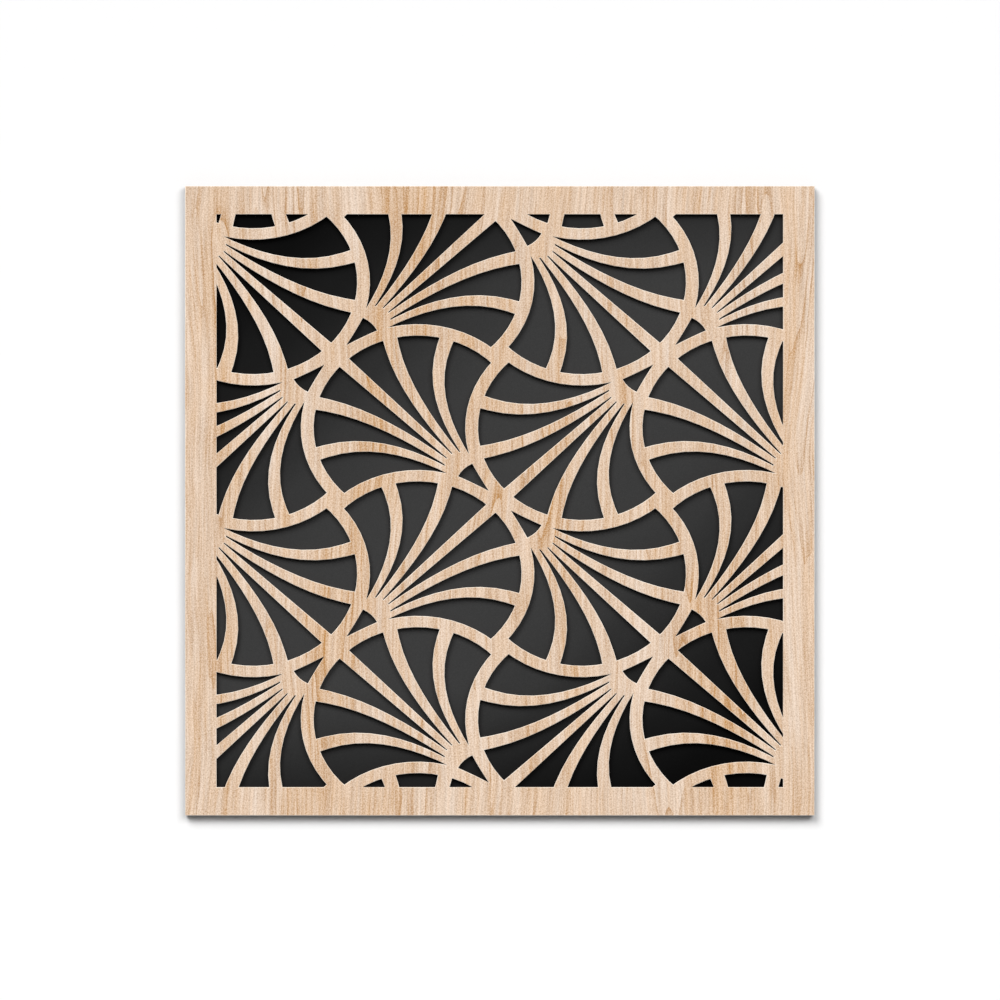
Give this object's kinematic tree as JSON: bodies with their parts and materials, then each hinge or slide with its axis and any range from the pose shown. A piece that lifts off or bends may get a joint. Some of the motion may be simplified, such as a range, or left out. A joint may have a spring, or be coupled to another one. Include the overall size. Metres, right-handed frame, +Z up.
{
  "type": "laser-cut fretwork wall panel",
  "caption": "Square laser-cut wood wall panel: a lattice of interlocking ribbed fans in a plain border, on a dark backing board.",
  "frame": {"origin": "middle of the flat back, on the wall", "axes": "+Y into the wall, so the face looks along -Y; +X to the right of someone facing the panel; +Z up"},
  "size_m": [0.6, 0.0093, 0.6],
  "materials": {
    "pale_wood": "raw fine-sanded pale hardwood veneer, satin, grain upright",
    "dark_board": "charcoal-black painted board, matt"
  },
  "bodies": {
    "root": {"fret_panel": "pale_wood", "backing_panel": "dark_board"}
  },
  "joints": []
}
